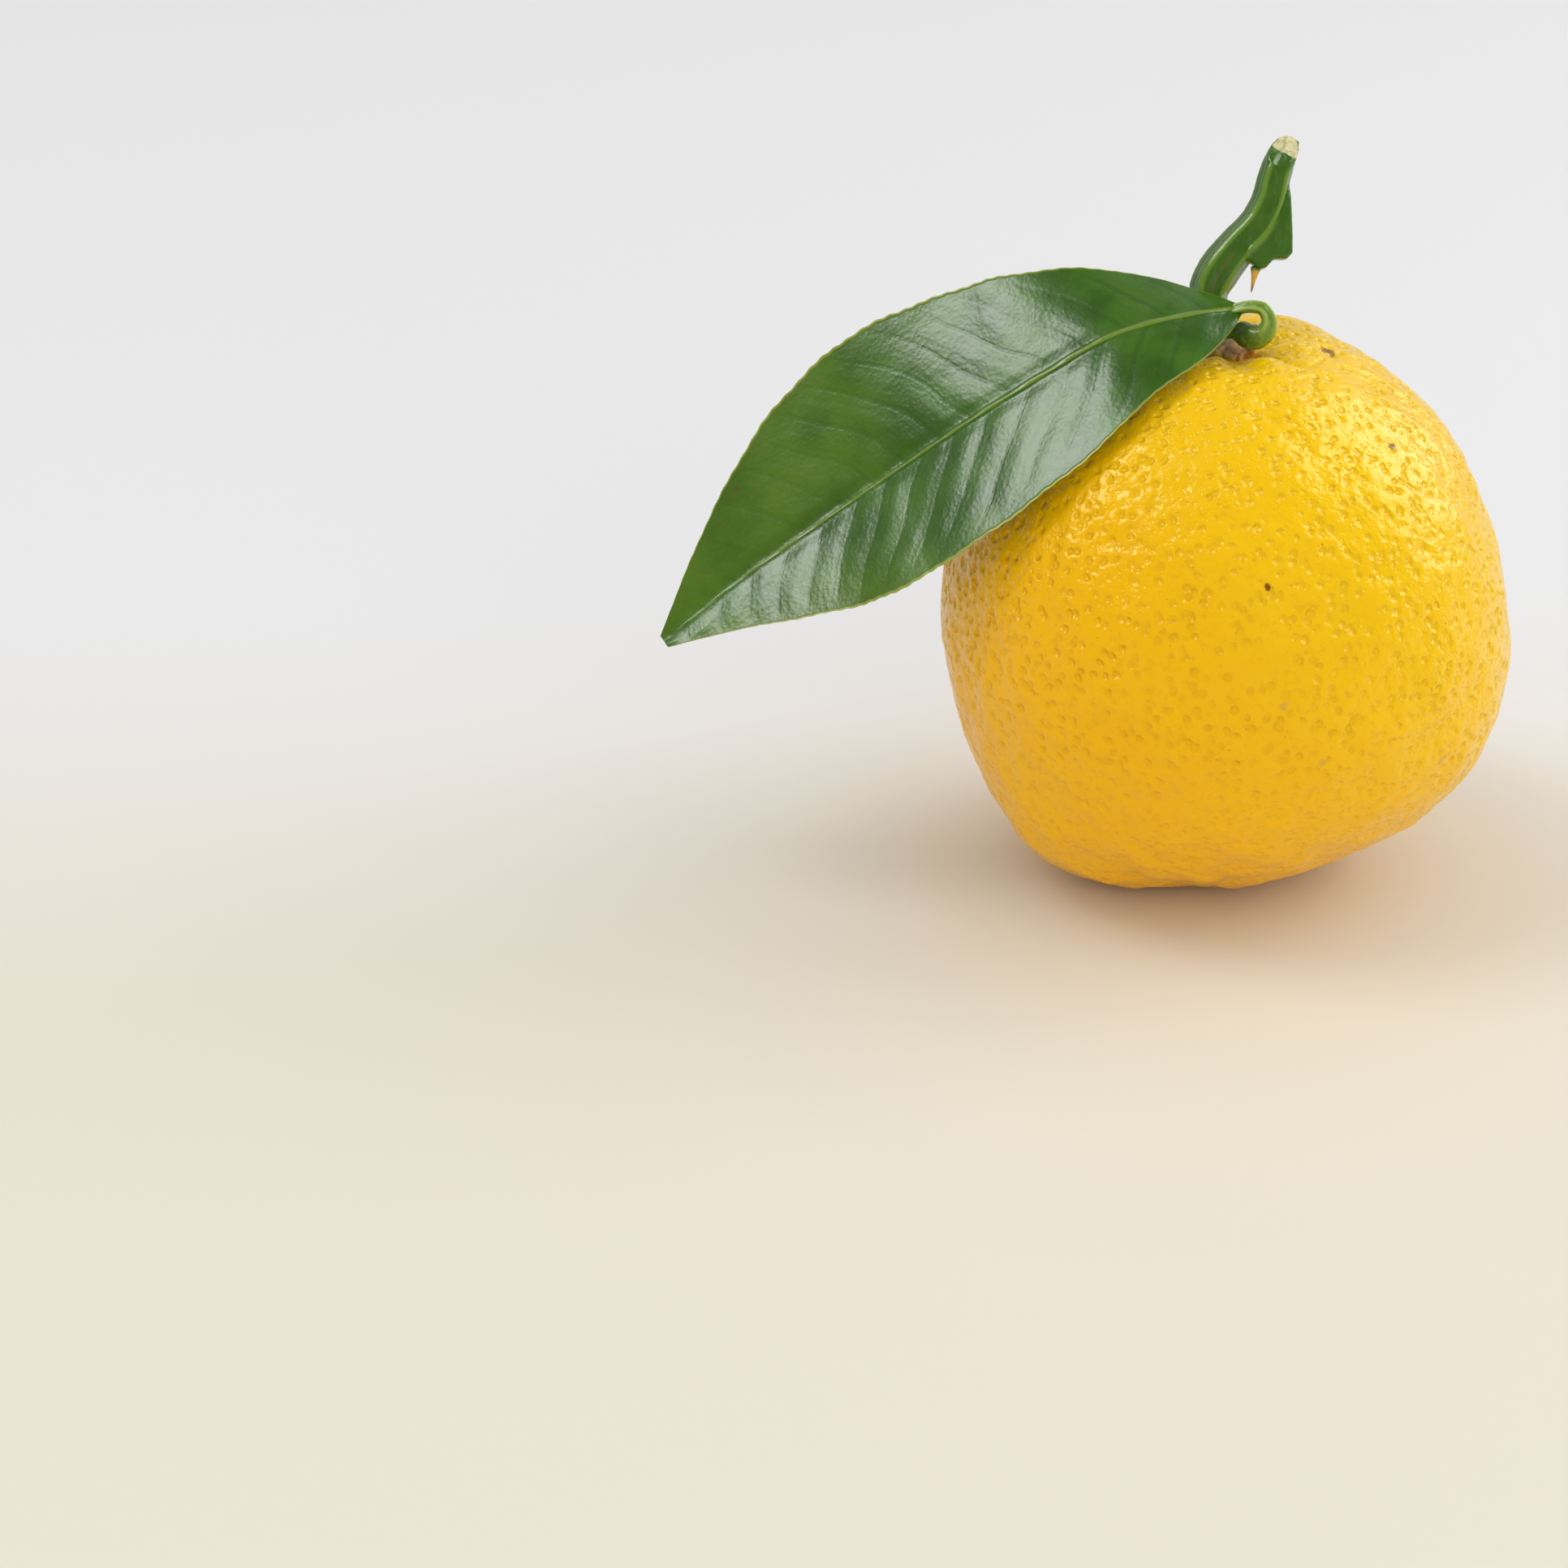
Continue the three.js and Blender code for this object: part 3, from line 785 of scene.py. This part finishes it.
def leaf_relief(sheet, settings):
    lie = sheet.noted("lie")
    along, across, share = sheet.parts(lie)
    rib = across.size().ease(0.6 * MM, 0.1 * MM) * along.ease(86 * MM, 20 * MM)
    gutter = across.size().ease(2.4 * MM, 0.5 * MM)
    quilt = side_veins(sheet, lie, settings.vein_spacing).ease(0.02, 0.45)
    waves = sheet.noise(sheet.join(along, across, 0), 6 * MM, 2.0) - 0.5
    front = share.ease(-0.4, 0.2) * 0.6 + 0.4  # the back half is quilted less
    height = quilt * settings.quilt_height * share.size().ease(1, 0.6) * front
    height = height + waves * (BLADE_WAVES * MM)
    return height + rib * (RIB_HEIGHT * MM) - gutter * (GUTTER_DEPTH * MM)


def leaf_look(sheet, settings):
    lie = sheet.noted("lie")
    along, across, share = sheet.parts(lie)
    flat = sheet.join(along, across, 0)
    veins = vein_lines(sheet, lie, settings)
    cloudy = sheet.noise(flat, 9 * MM, 4.0)
    colour = sheet.mix(cloudy.ease(0.38, 0.62), settings.leaf_colour, settings.light_colour)
    colour = sheet.mix(veins * 0.4, colour, VEIN_GREEN)
    glands = sheet.cells(flat, 0.75 * MM).ease(0.16, 0.08)
    colour = sheet.mix(glands * 0.3, colour, GLAND_GREEN)
    slack = along.ease(50 * MM, 0) * (0.2 * MM)
    rib = (across.size() - slack).ease(0.26 * MM, 0.1 * MM) * along.ease(90 * MM, 60 * MM)
    # Painted light: towards the tip, the blade's outer parts, the back half most, are made lighter where
    # they catch more light.
    lighter = along.ease(30 * MM, 62 * MM) * (share.size() + share.math("SIGN") * -0.3).ease(0.1, 0.6)
    colour = sheet.mix(lighter * cloudy, colour, LIT_PATCH_GREEN)
    colour = sheet.mix(rib * 0.75, colour, settings.rib_colour)
    margin = share.size().ease(0.97, 0.995)
    colour = sheet.mix(margin * 0.8, colour, MARGIN_GREEN)
    spots = sheet.cells(flat, 6 * MM).ease(0.07, 0.04) * sheet.noise(flat, 15 * MM).ease(0.5, 0.6)
    colour = sheet.mix(spots * 0.8, colour, LEAF_SPOT)
    grain = sheet.noise(flat, 0.4 * MM, 3.0)
    leather = sheet.cells(sheet.wander(flat, 1 * MM, 0.4 * MM), 0.6 * MM)
    bump = grain * (0.016 * MM) + leather * (0.018 * MM) - veins * (0.014 * MM) + rib * (0.05 * MM)
    bump = bump + margin * (0.06 * MM)
    return {
        "Base Color": colour,
        "Roughness": cloudy * 0.12 + 0.18 + sheet.noise(flat, 1.1 * MM) * 0.08,
        "Normal": sheet.bump(bump),
    }


def underside_look(sheet, settings):
    lie = sheet.noted("lie")
    along, across, _ = sheet.parts(lie)
    flat = sheet.join(along, across, 0)
    veins = vein_lines(sheet, lie, settings)
    cloudy = sheet.noise(flat, 7 * MM, 4.0)
    colour = sheet.mix(cloudy.ease(0.35, 0.65), settings.underside_colour, UNDERSIDE_CLOUD)
    rib = across.size().ease(0.9 * MM, 0.4 * MM)
    colour = sheet.mix((veins * 0.5).at_least(rib), colour, UNDERSIDE_VEIN)
    return {
        "Base Color": colour,
        "Roughness": cloudy * 0.1 + 0.5,
        "Normal": sheet.bump(veins * (0.12 * MM) + sheet.noise(flat, 0.4 * MM, 3.0) * (0.03 * MM)),
    }


def stalk_look(sheet, settings):
    place = sheet.place()
    along, top, _ = sheet.parts(sheet.noted("lie"))
    colour = sheet.mix(along.ease(1.5 * MM, 4.5 * MM), settings.knob_colour, settings.stalk_colour)
    band = along.ease(2.5 * MM, 5 * MM)
    # Painted highlight on the ridges beside the channel, then painted shade along the channel's bottom.
    colour = sheet.mix(top.ease(0.5, 0.75) * top.ease(0.95, 0.85) * band * 0.8, colour, STALK_CREST_AND_HIGHLIGHT)
    colour = sheet.mix(top.ease(0.95, 1) * band * 0.6, colour, STALK_CHANNEL_SHADE)
    cloudy = sheet.noise(place, 0.9 * MM, 3.0).ease(0.45, 0.7)
    colour = sheet.mix(cloudy * 0.5, colour, STALK_CLOUD)
    specks = sheet.cells(place, 0.55 * MM).ease(0.16, 0.08) * along.ease(3 * MM, 6 * MM)
    colour = sheet.mix(specks * 0.5, colour, STALK_SPECK)
    return {
        "Base Color": colour,
        "Roughness": sheet.noise(place, 1 * MM) * 0.15 + 0.25,
        "Normal": sheet.bump(sheet.noise(place, 0.35 * MM, 3.0) * (0.03 * MM)),
    }


class LeafSettings(bpy.types.PropertyGroup):
    leaf_colour: bpy.props.FloatVectorProperty(
        name="Blade", description="Colour of the upper side of the blade",
        subtype="COLOR", size=4, min=0, max=1, default=(0.028, 0.098, 0.002, 1))
    light_colour: bpy.props.FloatVectorProperty(
        name="Blade, lighter", description="Colour of the lighter clouds on the upper side",
        subtype="COLOR", size=4, min=0, max=1, default=(0.05, 0.145, 0.004, 1))
    underside_colour: bpy.props.FloatVectorProperty(
        name="Underside", description="Colour of the underside of the blade",
        subtype="COLOR", size=4, min=0, max=1, default=(0.16, 0.29, 0.07, 1))
    rib_colour: bpy.props.FloatVectorProperty(
        name="Midrib", description="Colour of the midrib",
        subtype="COLOR", size=4, min=0, max=1, default=(0.19, 0.29, 0.03, 1))
    stalk_colour: bpy.props.FloatVectorProperty(
        name="Stalk", description="Colour of the leaf stalk",
        subtype="COLOR", size=4, min=0, max=1, default=(0.17, 0.28, 0.02, 1))
    knob_colour: bpy.props.FloatVectorProperty(
        name="Stalk foot", description="Colour of the swollen foot of the stalk",
        subtype="COLOR", size=4, min=0, max=1, default=(0.07, 0.13, 0.012, 1))
    vein_spacing: bpy.props.FloatProperty(
        name="Vein spacing", description="Distance between the side veins",
        unit="LENGTH", min=1 * MM, default=5.2 * MM)
    quilt_height: bpy.props.FloatProperty(
        name="Quilting", description="How far the blade swells between its side veins",
        unit="LENGTH", min=0, default=0.07 * MM)
    thickness: bpy.props.FloatProperty(
        name="Thickness", description="Thickness of the midrib, the thickest part of the blade",
        unit="LENGTH", min=0.1 * MM, default=0.9 * MM)


def blade_frames(steps):
    """The midrib's points in millimetres, each with the blade's sideways and upward ways and the rise of
    its halves, and the midrib's length."""
    path, length = smooth_route(MIDRIB, steps)
    tangents = np.gradient(path, axis=0)
    frames = []
    for i, (point, tangent) in enumerate(zip(path, tangents)):
        share = i / (steps - 1)
        later = next(n for n, key in enumerate(BLADE_FACES) if n and key[0] >= share)
        (start, face, fold), (end, next_face, next_fold) = BLADE_FACES[later - 1], BLADE_FACES[later]
        t = (share - start) / (end - start)
        t = t * t * (3 - 2 * t)
        faces = Vector(face).lerp(Vector(next_face), t).normalized()
        tangent = Vector(tangent).normalized()
        side = faces.cross(tangent).normalized()
        rise = math.radians(fold + (next_fold - fold) * t)
        frames.append((Vector(point), side, tangent.cross(side), rise))
    return frames, length


class YUZU_OT_leaf(bpy.types.Operator):
    """Models the leaf blade along its midrib, and the curled stalk that holds it"""

    bl_idname = "yuzu.leaf"
    bl_label = "Leaf and stalk"

    def execute(self, context):
        settings = context.scene.yuzu_leaf
        bpy.ops.object.select_all(action="DESELECT")
        bpy.ops.mesh.primitive_grid_add(x_subdivisions=BLADE_ROWS, y_subdivisions=BLADE_COLUMNS, size=2)
        piece = started("leaf_blade")
        flat = points(piece)
        share = (flat[:, 0] + 1) / 2
        across_share = np.sign(flat[:, 1]) * np.abs(flat[:, 1]) ** 1.25
        frames, length = blade_frames(BLADE_ROWS * 2 + 1)
        run = share * length
        teeth = 0.0045 * np.sin(run * 2 * math.pi / TOOTH_LENGTH) * (run > TEETH_START)
        waves = 0.006 * np.sin(run * 2 * math.pi / WAVE_LENGTH + 1)
        half = eased(FRONT_WIDTHS, run) + np.where(across_share < 0, eased(BACK_EXTRA, run), 0)
        across = across_share * half * (1 + (teeth + waves) * np.abs(across_share) ** 6)
        ridge = np.hypot(across, 0.7) - 0.7
        blade = np.empty_like(flat)
        for i, (s, a, r) in enumerate(zip(share, across, ridge)):
            point, side, up, fold = frames[round(s * (len(frames) - 1))]
            blade[i] = point + side * (a * math.cos(fold)) + up * (r * math.sin(fold) + 0.3)
        put(piece, blade * MM)
        note(piece, "lie", np.column_stack([run * MM, across * MM, across_share]))
        press(piece, lambda sheet: leaf_relief(sheet, settings))

        # The underside: thickest at the midrib, thinnest at the margin.
        rib = np.exp(-((across / (0.5 + 0.6 * (1 - share))) ** 2)) * (1 - 0.5 * share)
        thick = 1 - MIDRIB_SHARE + MIDRIB_SHARE * rib
        thick = thick * (1 - 0.5 * np.abs(across_share) ** 8)
        group = piece.vertex_groups.new(name="thickness")
        for i, weight in enumerate(thick):
            group.add([i], float(min(1, weight)), "REPLACE")
        finish = material("Leaf blade", lambda sheet: leaf_look(sheet, settings), IOR=1.5)
        under = material("Leaf underside", lambda sheet: underside_look(sheet, settings))
        piece.data.materials.append(finish)
        piece.data.materials.append(under)
        work(
            piece, "SOLIDIFY", thickness=settings.thickness, offset=-1, vertex_group="thickness",
            material_offset=1, material_offset_rim=0,
        )
        edit(piece, lambda: bpy.ops.mesh.normals_make_consistent(inside=False))
        bpy.ops.object.shade_smooth_by_angle(angle=math.radians(50))
        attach(piece, "root")
        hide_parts("leaf")

        stalk = copy_of("leaf_stalk", "leaf_stalk_band")
        softened(stalk, STALK_VOXEL * MM, STALK_ROUNDS)
        lie = along_route(stalk, STALK_ROUTE)
        channel = np.cos(lie["around"] - math.radians(78))
        note(stalk, "lie", np.column_stack([lie["along"], channel, 0 * channel]))

        def channelled(sheet):
            along, top, _ = sheet.parts(sheet.noted("lie"))
            band = along.ease(2.5 * MM, 4.5 * MM)
            dip = (top.ease(0.83, 0.97) * 0.3 - top.ease(0.5, 0.76) * 0.14) * band
            knob = along.ease(3.2 * MM, 1.8 * MM) * (0.2 * MM)
            rough = (sheet.noise(sheet.place(), 1 * MM) - 0.5) * (0.15 * MM)
            return knob - dip * MM + rough

        press(stalk, channelled)
        skin = points(stalk)
        near_foot = np.clip(1 - lie["along"] / (1.2 * MM), 0, 1)
        near_blade = np.clip(1 - (lie["length"] - lie["along"]) / (2.2 * MM), 0, 1) ** 1.5
        skin -= near_foot[:, None] * lie["tangent"] * 0.9 * MM
        skin += near_blade[:, None] * np.array((-1.5, -0.1, -0.5)) * MM
        put(stalk, skin)
        smooth(stalk, 2)
        finish = material("Leaf stalk", lambda sheet: stalk_look(sheet, settings), IOR=1.5)
        hand_over(stalk, "leaf_stalk", finish)
        return {"FINISHED"}


# ---------------------------------------------------------------- stage


class StageSettings(bpy.types.PropertyGroup):
    # Painted light: the warm floor colour in front stands in for the fruit's warm bounce light and its
    # warm shadow.
    floor_painted_glow_colour: bpy.props.FloatVectorProperty(
        name="Floor", description="Colour of the floor",
        subtype="COLOR", size=4, min=0, max=1, default=(0.78, 0.73, 0.62, 1))
    backdrop_colour: bpy.props.FloatVectorProperty(
        name="Floor, behind", description="Colour of the floor behind the fruit",
        subtype="COLOR", size=4, min=0, max=1, default=(0.78, 0.78, 0.79, 1))
    side_light: bpy.props.FloatProperty(
        name="Side light", description="Power of the large soft light on the right",
        unit="POWER", min=0, default=7.0)
    top_light: bpy.props.FloatProperty(
        name="Top light", description="Power of the large soft light above",
        unit="POWER", min=0, default=4.7)
    front_light: bpy.props.FloatProperty(
        name="Front light", description="Power of the large soft light low in front",
        unit="POWER", min=0, default=4.6)
    side_sheen: bpy.props.FloatProperty(
        name="Side sheen", description="Power of the gloss that the light on the right gives",
        unit="POWER", min=0, default=24)
    top_sheen: bpy.props.FloatProperty(
        name="Top sheen", description="Power of the gloss that the light above gives",
        unit="POWER", min=0, default=11)
    room_light: bpy.props.FloatProperty(
        name="Room light", description="Strength of the even light of the room", min=0, default=0.72)
    room_gloss: bpy.props.FloatProperty(
        name="Room gloss", description="Strength of the room in glossy reflections of its darker front",
        min=0, default=0.15)


def floor_look(sheet, settings):
    # Painted light: the floor is warmer in front, near the fruit, in place of the warm light the fruit
    # throws back, and is pale grey behind.
    behind = sheet.parts(sheet.place())[1].ease(-50 * MM, 90 * MM)
    return {"Base Color": sheet.mix(behind, settings.floor_painted_glow_colour, settings.backdrop_colour)}


def soft_light(name, way, size, power):
    """A large square light in the given direction from the fruit, turned to it."""
    middle = Vector((0, 0, LIGHT_AIM * MM))
    place = middle + Vector(way).normalized() * LIGHT_DISTANCE * MM
    turn = (middle - place).to_track_quat("-Z", "Y").to_euler()
    bpy.ops.object.light_add(type="AREA", location=place, rotation=turn)
    light = bpy.context.object
    light.name = name
    light.data.shape = "SQUARE"
    light.data.size = size
    light.data.energy = power
    return light


class YUZU_OT_stage(bpy.types.Operator):
    """Sets up the pale floor, the soft lights and the camera"""

    bl_idname = "yuzu.stage"
    bl_label = "Stage"

    def execute(self, context):
        settings = context.scene.yuzu_stage
        bpy.ops.object.select_all(action="DESELECT")
        bpy.ops.mesh.primitive_plane_add(size=FLOOR_SIZE * MM)
        floor = started("floor")
        finish = material("Pale floor", lambda sheet: floor_look(sheet, settings), Roughness=0.7)
        floor.data.materials.append(finish)

        soft_light("side_light", (0.845, 0.217, 0.49), 1, settings.side_light).visible_glossy = False
        soft_light("top_light", (-0.47, 0.02, 0.86), 0.7, settings.top_light).visible_glossy = False
        soft_light("front_light", (0.24, -0.93, 0.25), 1.2, settings.front_light).visible_glossy = False
        soft_light("side_sheen", (0.76, 0.3, 0.58), 1.25, settings.side_sheen).visible_diffuse = False
        soft_light("top_sheen", (-0.675, 0.07, 0.735), 0.58, settings.top_sheen).visible_diffuse = False
        world = bpy.data.worlds.new("Room")
        world.use_nodes = True
        background = world.node_tree.nodes["Background"]
        background.inputs["Color"].default_value = (1, 1, 1, 1)
        sheet = Sheet(world.node_tree)
        glossy = sheet.add("ShaderNodeLightPath", out="Is Glossy Ray")
        back = sheet.parts(sheet.add("ShaderNodeTexCoord", out="Generated"))[1]
        gloss = back.ease(0.3, 0.9) * 0.5 + settings.room_gloss
        strength = glossy * (gloss - settings.room_light) + settings.room_light
        world.node_tree.links.new(strength.socket, background.inputs["Strength"])
        context.scene.world = world

        bpy.ops.object.camera_add(
            location=Vector(CAMERA_PLACE) * MM, rotation=(math.radians(CAMERA_TILT), 0, 0))
        camera = bpy.context.object
        camera.data.lens = CAMERA_LENS
        camera.data.sensor_width = CAMERA_SENSOR
        camera.data.clip_start = 0.01
        context.scene.camera = camera
        context.scene.view_settings.view_transform = "Standard"
        return {"FINISHED"}


# ---------------------------------------------------------------- panel and registration


class YUZU_PT_pieces(bpy.types.Panel):
    bl_label = "Yuzu"
    bl_space_type = "VIEW_3D"
    bl_region_type = "UI"
    bl_category = "Yuzu"

    def draw(self, context):
        for operator, settings in STEPS:
            box = self.layout.box()
            box.operator(operator.bl_idname)
            group = getattr(context.scene, settings)
            for name in group.__annotations__:
                box.prop(group, name)


GROUPS = {
    "yuzu_fruit": FruitSettings, "yuzu_stem": StemSettings,
    "yuzu_leaf": LeafSettings, "yuzu_stage": StageSettings,
}
STEPS = [
    (YUZU_OT_fruit, "yuzu_fruit"), (YUZU_OT_calyx, "yuzu_stem"), (YUZU_OT_twig, "yuzu_stem"),
    (YUZU_OT_leaf, "yuzu_leaf"), (YUZU_OT_stage, "yuzu_stage"),
]
CLASSES = [*GROUPS.values(), *(operator for operator, _ in STEPS), YUZU_PT_pieces]


def register():
    for made in CLASSES:
        bpy.utils.register_class(made)
    for name, group in GROUPS.items():
        setattr(bpy.types.Scene, name, bpy.props.PointerProperty(type=group))


def unregister():
    for name in GROUPS:
        delattr(bpy.types.Scene, name)
    for made in reversed(CLASSES):
        bpy.utils.unregister_class(made)


def main():
    register()
    bpy.ops.yuzu.fruit()
    bpy.ops.yuzu.calyx()
    bpy.ops.yuzu.twig()
    bpy.ops.yuzu.leaf()
    bpy.ops.yuzu.stage()
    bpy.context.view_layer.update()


if __name__ == "__main__":
    main()
